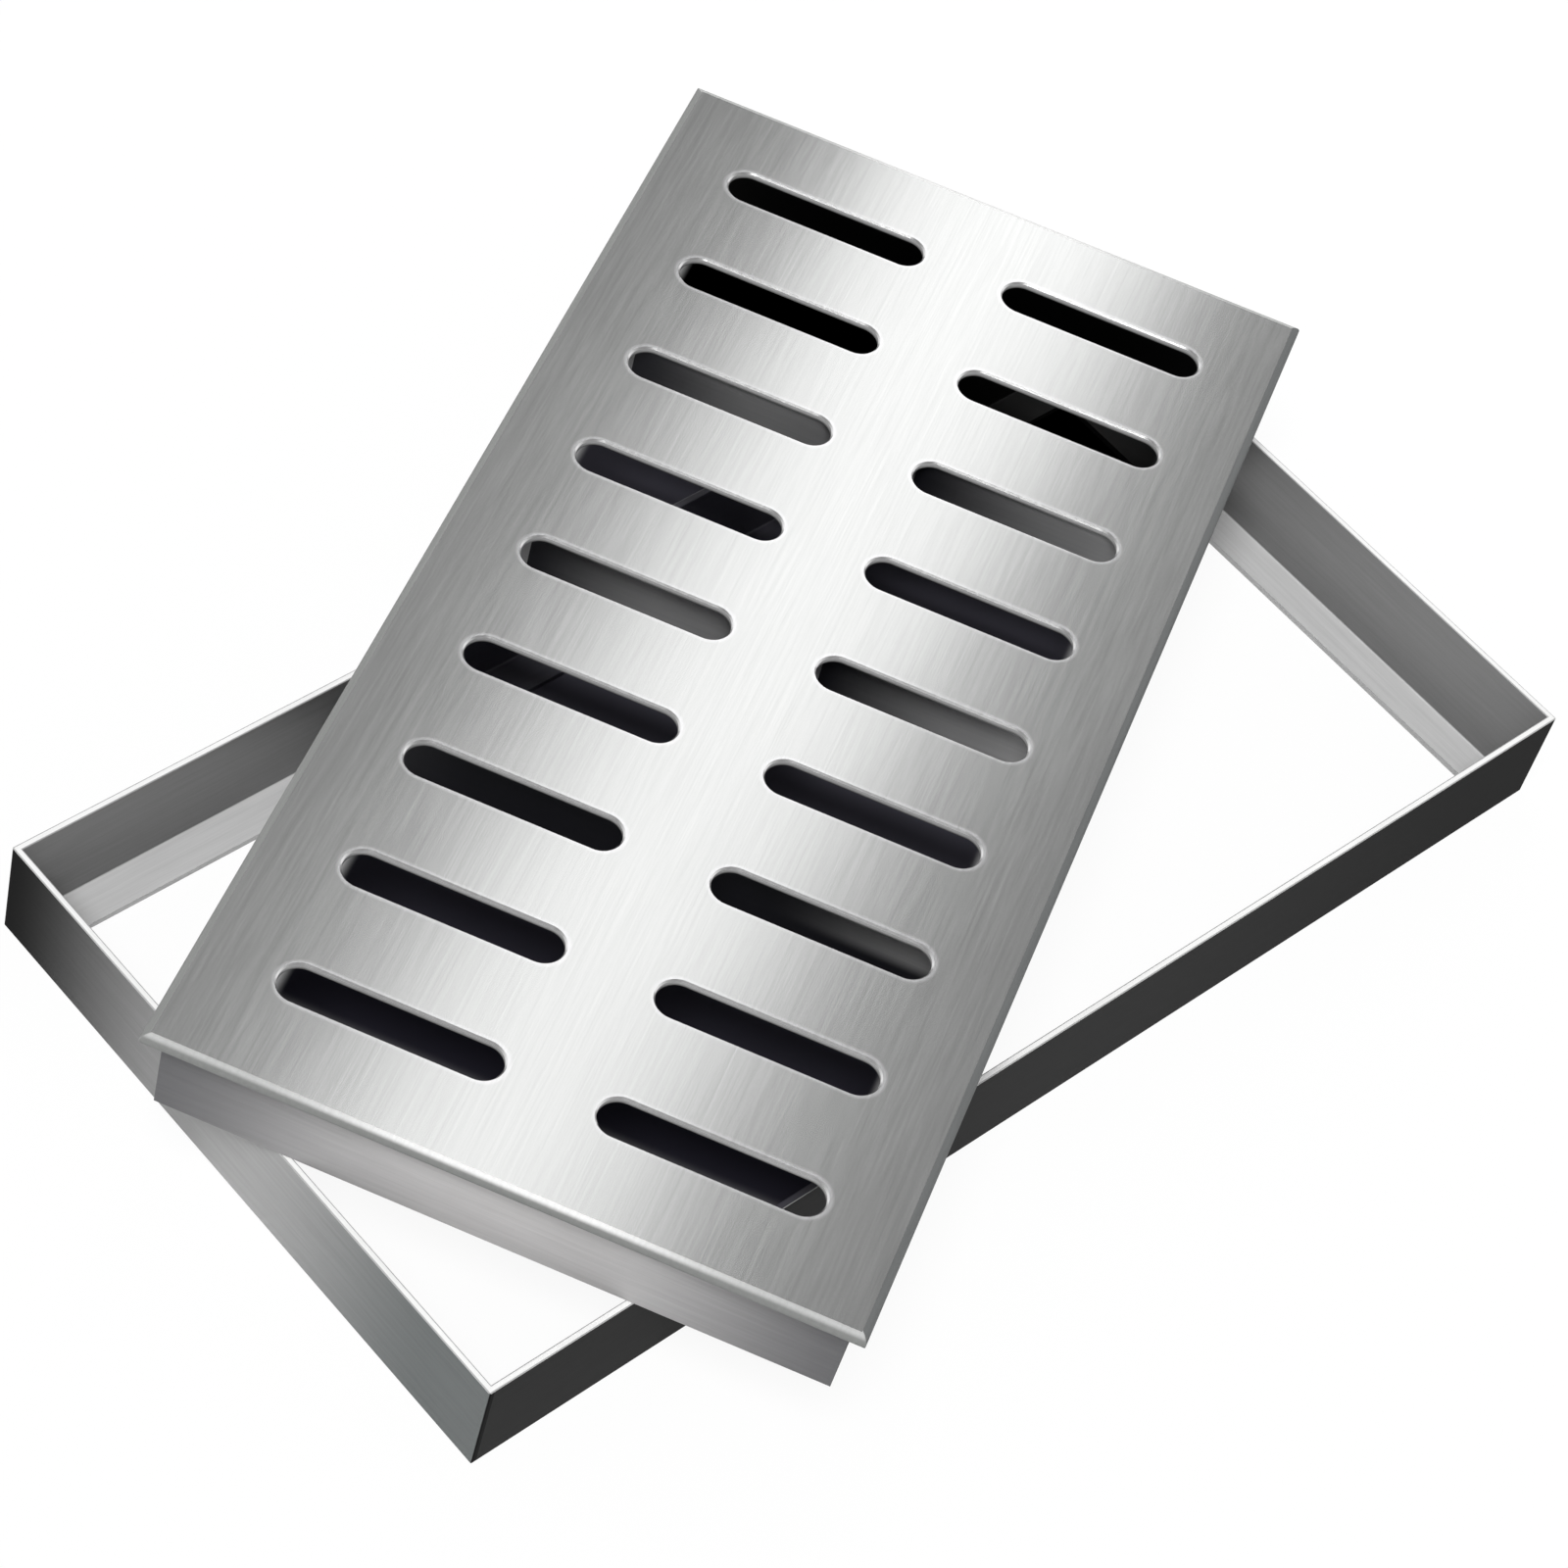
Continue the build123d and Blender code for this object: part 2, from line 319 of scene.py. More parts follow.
class WeldSettings(PropertyGroup):
    """The ripples of the fillet welds."""

    pitch: length_property("Ripple pitch", "Distance from one ripple to the next", 0.0013)
    height: length_property("Ripple height", "How far a ripple stands out", 0.00014)
    sag: length_property("Ripple bow", "How far a ripple bows forward in its middle", 0.0011)
    taper: length_property("End taper", "Length over which a bead runs out", 0.002)
    fullness: FloatProperty(
        name="Fullness", description="1 is a flat bead, and 2 a quarter round", default=1.25,
        min=1.0, max=2.0,
    )


class StageSettings(PropertyGroup):
    """The lamps, the sky, the floor and the camera."""

    strip_length: length_property("Strip length", "Length of the strip lamp", 1.6)
    strip_width: length_property("Strip width", "Width of the strip lamp", 0.19)
    strip_height: length_property("Strip height", "Height of the strip lamp over the cover", 0.9)
    strip_tone: number_property("Strip tone", "Brightness of the strip lamp", 1.62)
    strip_turn: angle_property(
        "Strip turn", "Turn of the strip lamp from the cover's length", -0.03
    )
    sun_height: angle_property("Sun height", "Angle of the sun lamp over the floor", 1.117)
    sun_spread: angle_property("Sun spread", "Apparent width of the sun lamp", 0.4)
    sun_power: number_property("Sun power", "Strength of the sun lamp", 2.5)
    sky_high: number_property("High sky", "Brightness of the sky overhead", 0.2)
    floor_white: number_property(
        "Floor white", "Share of plain white in the floor that is seen", 0.92
    )
    shade_start: length_property(
        "Shade start", "From the cover's near end to where the shade is full", 0.095
    )
    shade_end: length_property(
        "Shade end", "Past the cover's far end to where the shade is full", 0.022
    )
    shade_margin: length_property(
        "Shade margin", "From the cover's sides to where the shade is full", 0.026
    )
    shade_shift: length_property(
        "Shade shift", "How far the shade lies towards the cover's left", 0.009
    )
    shade_blur: length_property("Shade blur", "Width of the shade's soft edge", 0.012)
    shade_lean: number_property(
        "Shade lean", "How far the shade leans to the near end, by height", 0.8413
    )
    shade_lean_right: number_property(
        "Shade lean, right", "How far the shade leans to the right, by height", 0.0999
    )
    shade_rise: number_property(
        "Shade rise", "How much wider the shade is at each side, by height", 0.35
    )
    camera_place: point_property(
        "Camera place", "Where the camera stands", (-0.8607, -0.6341, 1.2764)
    )
    camera_aim: point_property(
        "Camera aim", "The point that the camera looks at", (-0.0362, -0.0466, 0.0815)
    )
    lens: number_property("Lens", "Focal length in millimetres", 108.4, min=1.0)
    roll: angle_property("Roll", "Turn about the line of sight", 0.30142)


class Wire:
    """A number or colour on its way through a node tree: sums and products add Math nodes."""

    def __init__(self, nodes, socket):
        self.nodes = nodes
        self.socket = socket

    def __add__(self, other):
        return self.nodes.maths("ADD", self, other)

    def __radd__(self, other):
        return self.nodes.maths("ADD", other, self)

    def __sub__(self, other):
        return self.nodes.maths("SUBTRACT", self, other)

    def __rsub__(self, other):
        return self.nodes.maths("SUBTRACT", other, self)

    def __mul__(self, other):
        return self.nodes.maths("MULTIPLY", self, other)

    def __rmul__(self, other):
        return self.nodes.maths("MULTIPLY", other, self)


class Nodes:
    """A node tree being made, and the one method that adds a node to it."""

    def __init__(self, owner):
        owner.use_nodes = True
        self.tree = owner.node_tree
        self.tree.nodes.clear()

    def add(self, kind, settings=None, inputs=None):
        """A node of this kind, with its settings made and its sockets set or linked."""
        made = self.tree.nodes.new(kind)
        for name, value in (settings or {}).items():
            setattr(made, name, value)
        for socket, value in (inputs or {}).items():
            if isinstance(value, Wire):
                self.tree.links.new(value.socket, made.inputs[socket])
            else:
                made.inputs[socket].default_value = value
        return made

    def out(self, node, socket):
        """What comes out of one of a node's sockets, by its name or number."""
        return Wire(self, node.outputs[socket])

    def coordinate(self, name):
        """The point in metres, named Object, or the way that the surface faces, named Normal."""
        return self.out(self.add("ShaderNodeTexCoord"), name)

    def along(self, turn, centre=(0, 0, 0), sizes=(1, 1, 1)):
        """The point measured from a centre, on axes turned about Z, in units of these sizes."""
        inputs = {
            "Vector": self.coordinate("Object"),
            "Location": centre,
            "Rotation": (0, 0, turn),
            "Scale": sizes,
        }
        return self.out(self.add("ShaderNodeMapping", {"vector_type": "TEXTURE"}, inputs), "Vector")

    def noise(self, turn, sizes, detail=2.0):
        """Cloudy noise from 0 to 1, with clouds of these sizes on axes turned about Z."""
        inputs = {"Vector": self.along(turn, sizes=sizes), "Scale": 1.0, "Detail": detail}
        return self.out(self.add("ShaderNodeTexNoise", None, inputs), "Fac")

    def ramp(self, value, low, high):
        """0 at low, 1 at high, and smooth between them."""
        settings = {"interpolation_type": "SMOOTHSTEP"}
        inputs = {"Value": value, "From Min": low, "From Max": high}
        return self.out(self.add("ShaderNodeMapRange", settings, inputs), "Result")

    def dot(self, vector, direction):
        """The vector's share along a direction, which is a vector too or three numbers."""
        settings = {"operation": "DOT_PRODUCT"}
        made = self.add("ShaderNodeVectorMath", settings, {0: vector, 1: direction})
        return self.out(made, "Value")

    def maths(self, operation, *values):
        """The result of a Math node."""
        made = self.add("ShaderNodeMath", {"operation": operation}, dict(enumerate(values)))
        return self.out(made, "Value")

    def size_of(self, value):
        """A number without its sign."""
        return self.maths("ABSOLUTE", value)

    def largest(self, first, second):
        """The larger of two numbers."""
        return self.maths("MAXIMUM", first, second)

    def root(self, value):
        """The square root of a number."""
        return self.maths("SQRT", value)

    def wrapped(self, value, period):
        """What is left of a number when every whole period is taken off it."""
        return self.maths("WRAP", value, period, 0.0)

    def shade_along(self, stage):
        """How far a point lies along the shade, which leans to the cover's near end as it rises."""
        return self.dot(self.coordinate("Object"), COVER_ALONG + UP * stage.shade_lean)

    def covered(self, stage):
        """1 where the shadow below the cover is painted on the floor and the frame."""
        place = self.coordinate("Object")
        along = self.shade_along(stage)
        across = self.dot(place, COVER_ACROSS + UP * stage.shade_lean_right) - stage.shade_shift
        near = stage.shade_start - COVER_HALF_LENGTH
        far = COVER_HALF_LENGTH + stage.shade_end
        side = COVER_HALF_WIDTH - stage.shade_margin
        blur = stage.shade_blur
        started = self.ramp(along, near - 3 * blur, near)
        ended = self.ramp(along, far, far + 2 * blur)
        beside = self.size_of(across) - stage.shade_rise * self.dot(place, UP)
        crosswise = 1 - self.ramp(beside, side, side + blur)
        return started * (1 - ended) * crosswise

    def shade(self, scene):
        """The painted shadow's colour below the cover: dimmer towards its near end, black below its
        far end.
        """
        along = self.shade_along(scene.cover_stage)
        colours = scene.cover_colours
        lit = self.mix(self.ramp(along, *SHADE_NEAR_FADE), colours.shade_near, colours.shade)
        return self.mix(self.ramp(along, *SHADE_BLACK), lit, BLACK)

    def mix(self, share, first, second, blend="MIX"):
        """The first colour where the share is 0 and the second where it is 1."""
        settings = {"data_type": "RGBA", "blend_type": blend}
        inputs = {0: share, MIX_FIRST: opaque(first), MIX_SECOND: opaque(second)}
        return self.out(self.add("ShaderNodeMix", settings, inputs), MIX_RESULT)

    def mix_surfaces(self, share, first, second):
        """The first surface where the share is 0 and the second where it is 1."""
        made = self.add("ShaderNodeMixShader", None, {0: share, 1: first, 2: second})
        return self.out(made, "Shader")


def opaque(colour):
    """A colour with its alpha, or the wire that carries one."""
    return colour if isinstance(colour, Wire) else (*colour, 1.0)


class Steel(Nodes):
    """A brushed steel finish whose grain runs along an axis turned about Z."""

    def __init__(self, name, turn):
        self.material = bpy.data.materials.new(name)
        super().__init__(self.material)
        grain = bpy.context.scene.cover_grain
        self.grain = grain
        self.fine = self.noise(turn, (grain.line_length, *(grain.line_width,) * 2), detail=1.0)
        self.streak = self.noise(turn, (grain.streak_length, *(grain.streak_width,) * 2))
        self.cloud = self.noise(turn, (2 * grain.cloud, *(grain.cloud,) * 2))
        streaks = STREAK_SHARE * self.streak + FINE_SHARE * self.fine
        self.light = streaks + CLOUD_SHARE * self.cloud
        self.facing = self.coordinate("Normal")
        self.height = self.dot(self.coordinate("Object"), UP)

    def facing_along(self, direction, limits):
        """1 where the surface faces a direction, by the cosine of the angle between them."""
        return self.ramp(self.dot(self.facing, direction), *limits)

    def shader(self, inputs):
        """One steel surface."""
        return self.out(self.add("ShaderNodeBsdfPrincipled", None, inputs), "BSDF")

    def finish(self, tone, roughness, metallic, dull=None):
        """The last nodes: the streaked tone, the relief of the brushed lines, and a dull share.

        The dull share is 1 where the surface scatters light evenly and mirrors next to nothing.
        """
        span = self.grain.contrast
        streaked = self.mix(self.light, (1 - span,) * 3, (1 + span,) * 3)
        lines = {"Height": self.fine, "Distance": self.grain.depth}
        relief = self.add("ShaderNodeBump", None, lines)
        common = {
            "Base Color": self.mix(1.0, tone, streaked, "MULTIPLY"),
            "Normal": self.out(relief, "Normal"),
        }
        uneven = STREAK_ROUGH * self.streak + CLOUD_ROUGH * self.cloud
        rough = uneven + (roughness - (STREAK_ROUGH + CLOUD_ROUGH) / 2)
        surface = self.shader({**common, "Roughness": rough, "Metallic": metallic})
        if dull is not None:
            surface = self.mix_surfaces(dull, surface, self.shader({**common, **MATT}))
        self.add("ShaderNodeOutputMaterial", None, {"Surface": surface})
        return self.material


def paint(nodes, material):
    """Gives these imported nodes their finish."""
    for node in nodes:
        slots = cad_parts[node].data.materials
        slots.clear()
        slots.append(material)


def cover_finish(colours):
    """The top sheet, brushed along the cover, with dull hems and painted light and shade: highlight
    rings round its slots, a highlight where the end folds start, folds darker than the top and the
    right fold darker than the left, slot walls black below their top, and a dark underside.
    """
    steel = Steel("brushed_cover_sheet", COVER_TURN)
    place = steel.along(COVER_TURN, COVER_MIDDLE)
    along = steel.dot(place, (1, 0, 0))
    left = steel.dot(place, (0, 1, 0))
    across = steel.size_of(left)
    past_end = steel.size_of(along) - COVER_HALF_LENGTH
    past_side = across - COVER_HALF_WIDTH
    end = steel.ramp(past_end - past_side, *MITRE_LINE)
    hemmed = steel.ramp(steel.largest(past_end, past_side), *HEM_LINE)
    row = steel.wrapped(along + SLOT_PITCH / 2, SLOT_PITCH) - SLOT_PITCH / 2
    column = steel.largest(steel.size_of(across - SLOT_COLUMN) - SLOT_STRAIGHT, 0)
    from_slot = steel.root(row * row + column * column) - SLOT_RADIUS
    level = steel.facing_along(UP, LEVEL)
    # The painted highlight rings round the slots.
    ring_highlight = level * (1 - steel.ramp(from_slot, *RING_FADE))
    sloping = steel.facing_along(UP, STEEP_EDGE) * (1 - steel.facing_along(UP, FLAT_EDGE))
    slope = sloping * (1 - hemmed)
    above = steel.facing_along(UP, ABOVE)
    # Painted light and shade on the folds: the right fold darker than the left, a highlight where the
    # end folds start.
    side_hem = steel.mix(steel.ramp(left, *LEFT_HALF), colours.hem_right, colours.hem_left)
    hem_top_highlight = steel.mix(steel.ramp(across, *HEM_HIGHLIGHT_FADE), colours.hem_highlight_middle, colours.hem_highlight)
    end_hem = steel.mix(steel.facing_along(UP, FOLD), colours.hem_end, hem_top_highlight)
    hem = steel.mix(end, side_hem, end_hem)
    # Painted shade: the slot walls go black below their top.
    cut = steel.mix(steel.ramp(steel.height, *LIT_WALL), BLACK, colours.slot_wall)
    # The underside is painted dark as shade.
    tone = steel.mix(above, colours.cover_under, steel.mix(hemmed, cut, hem))
    tone = steel.mix(level, tone, colours.cover)
    tone = steel.mix(slope, tone, colours.slot_edge)
    outer_end = steel.ramp(across, *OUTER_RING)
    tone = steel.mix(ring_highlight, tone, steel.mix(outer_end, colours.slot_ring_middle, colours.slot_ring))
    dull = (SHEET_DULL + (1 - SHEET_DULL) * hemmed) * (1 - level) * (1 - slope) * above
    return steel.finish(tone, roughness=0.2, metallic=0.9, dull=dull)


def frame_finish(name, turn, scene, seam=False):
    """The frame's brushed angle: a bright ground rim, satin inside, and a dull outside.

    A corner seam differs in its faces on the long sides, which are nearly black. The rim, the
    ledge and the inner walls take the painted shadow's tone where the cover lies over them.
    """
    colours = scene.cover_colours
    steel = Steel(name, turn)
    from_middle = steel.along(0.0, tuple(FRAME_MIDDLE))
    flattened = {0: steel.facing, 1: (1, 1, 0)}
    level = steel.add("ShaderNodeVectorMath", {"operation": "MULTIPLY"}, flattened)
    outside = steel.ramp(steel.dot(steel.out(level, "Vector"), from_middle), *OUTER_FACE)
    upward = steel.facing_along(UP, UPWARD)
    rim = upward * steel.ramp(steel.height, *RIM_HEIGHT)
    right, far = steel.dot(from_middle, (1, 0, 0)), steel.dot(from_middle, (0, 1, 0))
    past_end = steel.size_of(right) - FRAME_HALF_LENGTH
    past_side = steel.size_of(far) - FRAME_HALF_WIDTH
    inward = -1 * steel.largest(past_end, past_side)
    inner_edge = steel.ramp(inward, *RIM_INNER_EDGE)
    rounded = rim * (1 - steel.ramp(inward, *RIM_OUTER_EDGE) * (1 - inner_edge))
    # A painted gradient of light and shade along the ends' outer walls, and darker long outer walls.
    far_half = steel.ramp(far, 0, FRAME_HALF_WIDTH)
    near_half = steel.ramp(far, 0, -END_NEAR_REACH * FRAME_HALF_WIDTH)
    left_end = steel.mix(far_half, colours.end_middle, colours.end_far)
    left_end = steel.mix(near_half, left_end, colours.end_near)
    sides = steel.ramp(steel.size_of(steel.dot(steel.facing, (0, 1, 0))), *SIDEWAYS)
    right_half = steel.ramp(right, 0, FRAME_HALF_LENGTH)
    long_side = steel.mix(right_half, colours.outside, colours.outside_right)
    outer = steel.mix(sides, left_end, colours.seam if seam else long_side)
    foot = 1 - steel.ramp(steel.height, *LEDGE_HEIGHT)
    inner = steel.mix(foot, colours.inside, colours.ledge_edge)
    # Faces take painted light and shade: near-black outside, a lighter ledge, a near-white rim with
    # darker edges.
    tone = steel.mix(outside, inner, outer)
    tone = steel.mix(upward, tone, colours.ledge)
    tone = steel.mix(rim, tone, colours.rim)
    tone = steel.mix(rounded, tone, colours.rim_edge)
    # The painted shadow below the cover, on all but the outer faces.
    along = steel.dot(steel.coordinate("Object"), COVER_ALONG)
    under = 1 - steel.ramp(along, *SHADE_OFF_FRAME)
    shadow_share = FRAME_SHADE * (1 - outside) * under * steel.covered(scene.cover_stage)
    tone = steel.mix(shadow_share, tone, steel.shade(scene))
    dull = (INNER_DULL + (1 - INNER_DULL) * outside) * (1 - upward)
    metallic = WALL_METALLIC - (WALL_METALLIC - TOP_METALLIC) * upward
    return steel.finish(tone, roughness=0.4, metallic=metallic, dull=dull)


def short_bar_finish(colours):
    """A flat end bar of the cover, with a painted highlight outside in its middle and painted shade
    inside.
    """
    steel = Steel("satin_short_bar", COVER_TURN + QUARTER_TURN)
    place = steel.along(COVER_TURN)
    across = steel.size_of(steel.dot(place, (0, 1, 0)))
    facing = steel.dot(steel.facing, COVER_ALONG)
    outward = steel.ramp(facing * steel.dot(place, (1, 0, 0)), *OUTER_BAR_FACE)
    tone = steel.mix(steel.ramp(across, 0, COVER_HALF_WIDTH), colours.skirt_middle, colours.skirt)
    tone = steel.mix(outward, colours.skirt_inside, tone)
    dull = SHORT_BAR_DULL * steel.size_of(facing)
    return steel.finish(tone, roughness=0.42, metallic=0.9, dull=dull)


def long_bar_finish(colours):
    """A flat bar along the cover, painted dark as shade on its outer face."""
    steel = Steel("satin_long_bar", COVER_TURN)
    across = steel.size_of(steel.dot(steel.along(COVER_TURN), (0, 1, 0)))
    outer = steel.ramp(across - half_span("skirt_bar_near", COVER_ACROSS), *OUTER_SKIN)
    tone = steel.mix(outer, colours.skirt, colours.skirt_side)
    return steel.finish(tone, roughness=0.42, metallic=0.9, dull=LONG_BAR_DULL * outer)


def rib_finish(colours):
    """A bar under the sheet, with light painted below the slots' right ends and painted shade at its
    foot. The near bar is painted lit at its right end only, and the far bar less than the middle one.
    """
    steel = Steel("rib_painted_light_and_shade", COVER_TURN + QUARTER_TURN)
    place = steel.coordinate("Object")
    left, along = steel.dot(place, COVER_ACROSS), steel.dot(place, COVER_ALONG)
    past = steel.wrapped(SLOT_COLUMN + SLOT_STRAIGHT + SLOT_RADIUS - left, 2 * SLOT_COLUMN)
    lit = steel.ramp(past, *RIB_RUN) * steel.ramp(steel.height, *RIB_HEIGHT)
    far, near = steel.ramp(along, *FAR_RIB), steel.ramp(along, *NEAR_RIB)
    lit = lit * (RIB_LIGHT - FAR_RIB_LOSS * far) * (1 - near * steel.ramp(left, *NEAR_RIB_DARK))
    tone = steel.mix(lit, colours.rib_dark, colours.rib)
    return steel.finish(tone, roughness=0.45, metallic=0.6)


def weld_finish(colours):
    """A fillet weld, cleaned but not ground."""
    steel = Steel("rippled_weld", COVER_TURN)
    return steel.finish(colours.weld, roughness=0.38, metallic=0.6)


def beads_of(node):
    """The corners of each plain bead in a packed weld node, as one array for each bead.

    Triangles that share a corner belong to one bead: every corner takes the lowest label among its
    triangles' corners, again and again, until no label changes.
    """
    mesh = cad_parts[node].data
    mesh.calc_loop_triangles()
    points = np.empty(3 * len(mesh.vertices))
    mesh.vertices.foreach_get("co", points)
    ends = np.empty(3 * len(mesh.loop_triangles), int)
    mesh.loop_triangles.foreach_get("vertices", ends)
    rounded = points.reshape(-1, 3).round(SAME_POINT_DIGITS)
    places, same = np.unique(rounded, axis=0, return_inverse=True)
    triangles = same.ravel()[ends].reshape(-1, 3)
    label = np.arange(len(places))
    settled = False
    while not settled:
        lower = label.copy()
        lowest = np.repeat(label[triangles].min(axis=1), 3)
        np.minimum.at(lower, triangles.ravel(), lowest)
        settled = np.array_equal(lower, label)
        label = lower
    return [places[label == bead] for bead in np.unique(label)]


def bead_axes(corners):
    """A plain bead's root, its two legs and its run, from the corners of its prism.

    The run is along the cover's axis on which the bead is longest. At one end the root is the
    corner opposite the triangle's longest side, and the legs go from it to the other two.
    """
    axes = np.array([COVER_ALONG, COVER_ACROSS, UP])
    measured = corners @ axes.T
    spans = np.ptp(measured, axis=0)
    lengthwise = spans.argmax()
    stations = measured[:, lengthwise]
    start = corners[stations < stations.mean()]
    sides = np.linalg.norm(np.roll(start, 1, axis=0) - np.roll(start, 2, axis=0), axis=1)
    root = sides.argmax()
    legs = np.delete(start, root, axis=0) - start[root]
    return start[root], legs[0], legs[1], axes[lengthwise] * spans[lengthwise]


def rippled_bead(corners, weld):
    """Points and faces of a bead between two legs, closed at both ends.

    At the distance s along the run and the angle t from the first leg to the second, the surface
    stands from the root by r(t) times (cos t, sin t) on the legs, where r(t) is the superellipse
    (cos t to the p plus sin t to the p) to the power minus 1/p, and p is the fullness. A ripple is
    the scallop 1 minus the absolute sine of pi times (s minus the bow times sin 2t) over the pitch,
    taken off r. Towards each end the whole section shrinks by a quarter ellipse.
    """
    root, first, second, run = bead_axes(corners)
    length = np.linalg.norm(run)
    leg = np.linalg.norm(first)
    steps = STEPS_PER_RIPPLE * math.ceil(length / weld.pitch)
    s = np.linspace(0, length, steps + 1)[1:-1, None]
    t = np.linspace(0, QUARTER_TURN, POINTS_ACROSS_BEAD)[None, :]
    power = weld.fullness
    reach = (np.cos(t) ** power + np.clip(np.sin(t), 0, 1) ** power) ** (-1 / power)
    phase = math.pi * (s - weld.sag * np.sin(2 * t)) / weld.pitch
    groove = (1 - np.abs(np.sin(phase))) * np.sin(2 * t) * weld.height / leg
    to_end = np.clip(np.minimum(s, length - s) / weld.taper, 0, 1)
    shrink = np.sqrt(1 - (1 - to_end) ** 2)
    radius = (reach - groove) * shrink
    spine = (root + (s / length) * run)[:, None, :]
    on_first, on_second = (radius * np.cos(t))[..., None], (radius * np.sin(t))[..., None]
    skin = spine + on_first * first + on_second * second
    rings = np.concatenate([skin, spine], axis=1)
    outward = np.dot(np.cross(first, second), run) > 0
    return closed_tube(rings, root, root + run, outward)


def closed_tube(rings, start, end, outward):
    """Points and faces of a tube through these rings, drawn together to a point at each end."""
    count, around = rings.shape[:2]
    grid = np.arange(count * around).reshape(count, around)
    after = np.roll(grid, -1, axis=1)
    walls = np.stack([grid[:-1], after[:-1], after[1:], grid[1:]], axis=-1).reshape(-1, 4)
    first, last = count * around, count * around + 1
    start_cap = np.stack([np.full(around, first), after[0], grid[0]], axis=-1)
    end_cap = np.stack([np.full(around, last), grid[-1], after[-1]], axis=-1)
    points = np.concatenate([rings.reshape(-1, 3), [start], [end]])
    faces = [walls, start_cap, end_cap]
    if not outward:
        faces = [block[:, ::-1] for block in faces]
    return points, faces


def weld_piece(node, weld, material):
    """Adds one piece with all the rippled beads of a packed weld node, in that node's place."""
    points, faces = [], []
    for corners in beads_of(node):
        bead_points, bead_faces = rippled_bead(corners, weld)
        faces += [face for block in bead_faces for face in (block + sum(map(len, points))).tolist()]
        points.append(bead_points)
    mesh = bpy.data.meshes.new(f"rippled_{node}")
    mesh.from_pydata(np.concatenate(points).tolist(), [], faces)
    mesh.shade_smooth()
    mesh.materials.append(material)
    piece = bpy.data.objects.new(f"rippled_{node}", mesh)
    bpy.context.scene.collection.objects.link(piece)
    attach(piece, BODY)
    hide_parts(node)


def aimed(place, aim, roll=0.0):
    """The matrix of a camera or lamp that stands at a place, points at an aim and is rolled."""
    back = (place - aim).normalized()
    right = UP.cross(back).normalized()
    above = back.cross(right)
    side = right * math.cos(roll) + above * math.sin(roll)
    return standing(place, side, back)


def standing(place, side, back):
    """The matrix of an object at a place whose X axis is side and whose Z axis is back."""
    turned = Matrix((side, back.cross(side), back)).transposed().to_4x4()
    return Matrix.Translation(place) @ turned


def lamp(name, kind, matrix, **settings):
    """Adds a lamp in its place."""
    data = bpy.data.lights.new(name, kind)
    for setting, value in settings.items():
        setattr(data, setting, value)
    made = bpy.data.objects.new(name, data)
    made.matrix_world = matrix
    bpy.context.scene.collection.objects.link(made)


class COVER_OT_finish_sheet(Operator):
    """Gives the slotted top sheet its brushed finish"""

    bl_idname = "drain_cover.finish_sheet"
    bl_label = "Finish the top sheet"

    def execute(self, context):
        paint(["cover_sheet"], cover_finish(context.scene.cover_colours))
        return {"FINISHED"}


class COVER_OT_finish_frame(Operator):
    """Gives the frame's sides, ends and corner seams their finish"""

    bl_idname = "drain_cover.finish_frame"
    bl_label = "Finish the frame"

    def execute(self, context):
        paint(FRAME_SIDES, frame_finish("brushed_frame_side", 0.0, context.scene))
        paint(FRAME_ENDS, frame_finish("brushed_frame_end", QUARTER_TURN, context.scene))
        paint(FRAME_WELDS, frame_finish("ground_corner_seam", 0.0, context.scene, seam=True))
        return {"FINISHED"}


class COVER_OT_finish_skirt(Operator):
    """Gives the four flat bars round the cover their finish"""

    bl_idname = "drain_cover.finish_skirt"
    bl_label = "Finish the skirt"

    def execute(self, context):
        colours = context.scene.cover_colours
        paint(SKIRT_SHORT, short_bar_finish(colours))
        paint(SKIRT_LONG, long_bar_finish(colours))
        return {"FINISHED"}


class COVER_OT_finish_ribs(Operator):
    """Gives the three bars under the sheet their finish, with painted light and shade"""

    bl_idname = "drain_cover.finish_ribs"
    bl_label = "Finish the ribs"

    def execute(self, context):
        paint(RIBS, rib_finish(context.scene.cover_colours))
        return {"FINISHED"}


class COVER_OT_lay_welds(Operator):
    """Models the fillet welds inside the cover with their ripples"""

    bl_idname = "drain_cover.lay_welds"
    bl_label = "Lay the welds"

    def execute(self, context):
        scene = context.scene
        material = weld_finish(scene.cover_colours)
        for node in WELDS:
            weld_piece(node, scene.cover_welds, material)
        return {"FINISHED"}


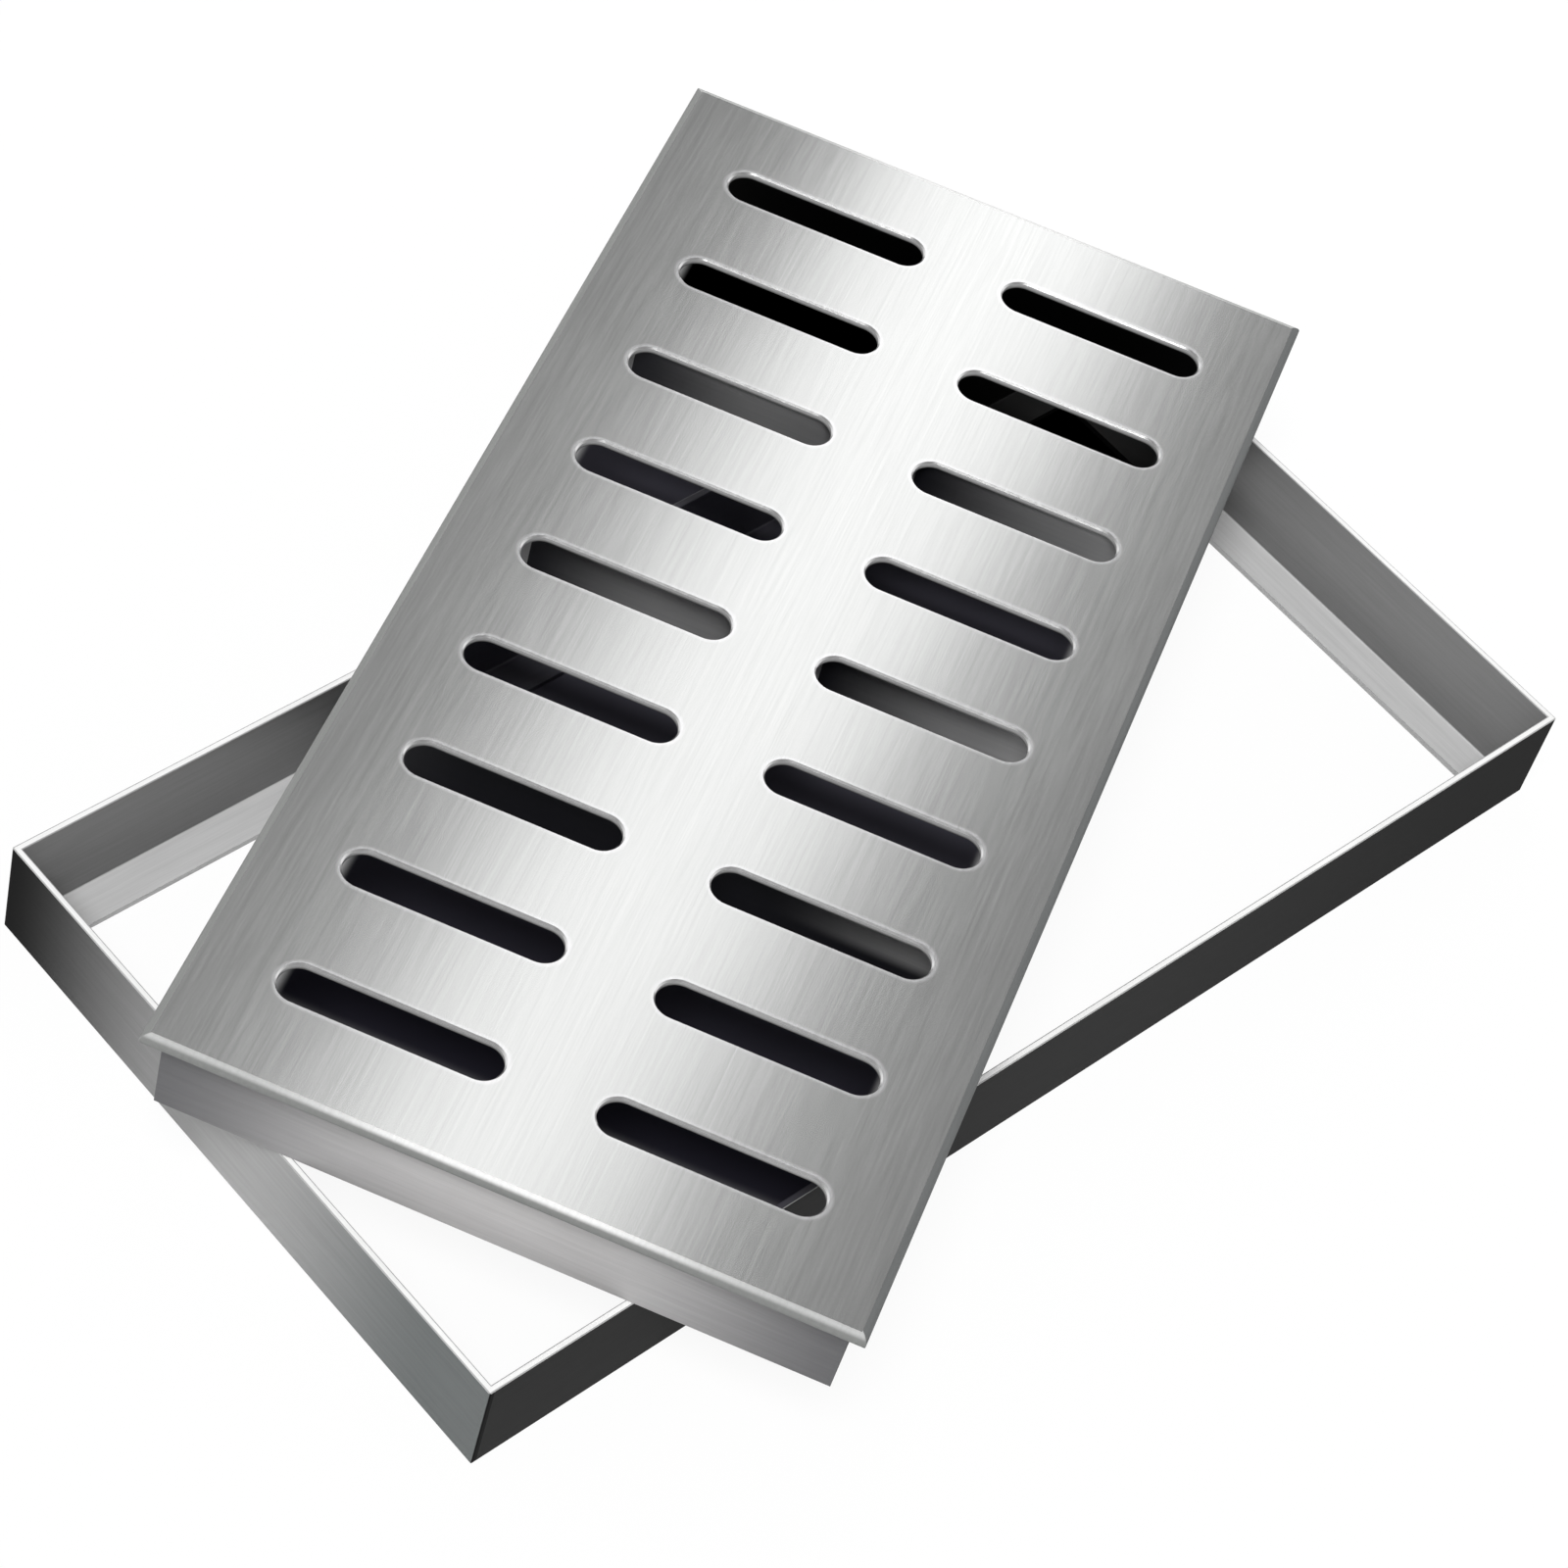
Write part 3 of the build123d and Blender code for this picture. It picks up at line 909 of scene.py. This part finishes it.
class COVER_OT_set_stage(Operator):
    """Sets the floor, the lamps, the sky and the camera"""

    bl_idname = "drain_cover.set_stage"
    bl_label = "Set the stage"

    def execute(self, context):
        scene = context.scene
        stage = scene.cover_stage
        place = Vector(stage.camera_place)
        self.floor(scene, stage)
        self.sky(stage.sky_high)
        self.lamps(stage, place)
        data = bpy.data.cameras.new("camera")
        data.lens = stage.lens
        camera = bpy.data.objects.new("camera", data)
        camera.matrix_world = aimed(place, Vector(stage.camera_aim), stage.roll)
        scene.collection.objects.link(camera)
        scene.camera = camera
        scene.view_settings.view_transform = "Standard"
        return {"FINISHED"}

    def floor(self, scene, stage):
        """Adds a floor that is seen as plain white, with a shadow painted dark below the cover."""
        mesh = bpy.data.meshes.new("floor")
        square = ((-1, -1), (1, -1), (1, 1), (-1, 1))
        corners = [(x * FLOOR_REACH, y * FLOOR_REACH, 0.0) for x, y in square]
        mesh.from_pydata(corners, [], [(0, 1, 2, 3)])
        material = bpy.data.materials.new("floor_paint")
        nodes = Nodes(material)
        shade = nodes.covered(stage)
        rays = nodes.add("ShaderNodeLightPath")
        kinds = ("Camera", "Glossy", "Transmission")
        seen = sum(nodes.out(rays, f"Is {kind} Ray") for kind in kinds)
        colour = nodes.mix(shade, scene.cover_colours.floor, nodes.shade(scene))
        lit = nodes.out(nodes.add("ShaderNodeBsdfDiffuse", None, {"Color": colour}), "BSDF")
        plain = nodes.out(nodes.add("ShaderNodeEmission", None, {"Strength": 1.0}), "Emission")
        share = seen * stage.floor_white * (1 - shade)
        surface = nodes.mix_surfaces(share, lit, plain)
        nodes.add("ShaderNodeOutputMaterial", None, {"Surface": surface})
        mesh.materials.append(material)
        floor = bpy.data.objects.new("floor", mesh)
        scene.collection.objects.link(floor)

    def sky(self, high):
        """Sets a sky that is white along the horizon and darker overhead."""
        world = bpy.data.worlds.new("studio_sky")
        nodes = Nodes(world)
        rise = nodes.dot(nodes.coordinate("Generated"), UP)
        low_end, high_end = (math.sin(math.radians(angle)) for angle in SKY_FADE_DEGREES)
        colour = nodes.mix(nodes.ramp(rise, low_end, high_end), WHITE, (high,) * 3)
        sky = nodes.add("ShaderNodeBackground", None, {"Color": colour})
        nodes.add("ShaderNodeOutputWorld", None, {"Surface": nodes.out(sky, "Background")})
        bpy.context.scene.world = world

    def lamps(self, stage, camera_place):
        """Adds a strip lamp that the cover mirrors to the camera, and a soft sun."""
        away = COVER_MIDDLE - camera_place
        reach = stage.strip_height / -away.z
        place = COVER_MIDDLE + Vector((away.x * reach, away.y * reach, stage.strip_height))
        back = (place - COVER_MIDDLE).normalized()
        lengthwise = Matrix.Rotation(stage.strip_turn, 3, "Z") @ COVER_ALONG
        side = (lengthwise - back * lengthwise.dot(back)).normalized()
        area = stage.strip_length * stage.strip_width
        lamp(
            "strip_lamp", "AREA", standing(place, side, back), shape="RECTANGLE",
            size=stage.strip_length, size_y=stage.strip_width,
            energy=stage.strip_tone * math.pi * area,
        )
        rays = UP * math.sin(stage.sun_height) - COVER_ALONG * math.cos(stage.sun_height)
        sun = {"energy": stage.sun_power, "angle": stage.sun_spread}
        lamp("sun_lamp", "SUN", aimed(rays, Vector()), **sun)


OPERATORS = (
    COVER_OT_finish_sheet,
    COVER_OT_finish_frame,
    COVER_OT_finish_skirt,
    COVER_OT_finish_ribs,
    COVER_OT_lay_welds,
    COVER_OT_set_stage,
)
SETTINGS = {
    "cover_grain": GrainSettings,
    "cover_colours": ColourSettings,
    "cover_welds": WeldSettings,
    "cover_stage": StageSettings,
}


class COVER_PT_steps(Panel):
    """Lists the steps that finish the drain cover"""

    bl_idname = "COVER_PT_steps"
    bl_label = "Drain cover"
    bl_space_type = "VIEW_3D"
    bl_region_type = "UI"
    bl_category = "Drain cover"

    def draw(self, context):
        for operator in OPERATORS:
            self.layout.operator(operator.bl_idname)
        for name, group in SETTINGS.items():
            column = self.layout.column(align=True)
            for key in group.__annotations__:
                column.prop(getattr(context.scene, name), key)


def register():
    for item in (*SETTINGS.values(), *OPERATORS, COVER_PT_steps):
        bpy.utils.register_class(item)
    for name, group in SETTINGS.items():
        setattr(bpy.types.Scene, name, PointerProperty(type=group))


def unregister():
    for name in SETTINGS:
        delattr(bpy.types.Scene, name)
    for item in (COVER_PT_steps, *reversed(OPERATORS), *reversed(SETTINGS.values())):
        bpy.utils.unregister_class(item)


def main():
    """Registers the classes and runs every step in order."""
    register()
    steps = bpy.ops.drain_cover
    for operator in OPERATORS:
        getattr(steps, operator.bl_idname.split(".")[1])()


if __name__ == "__main__":
    main()
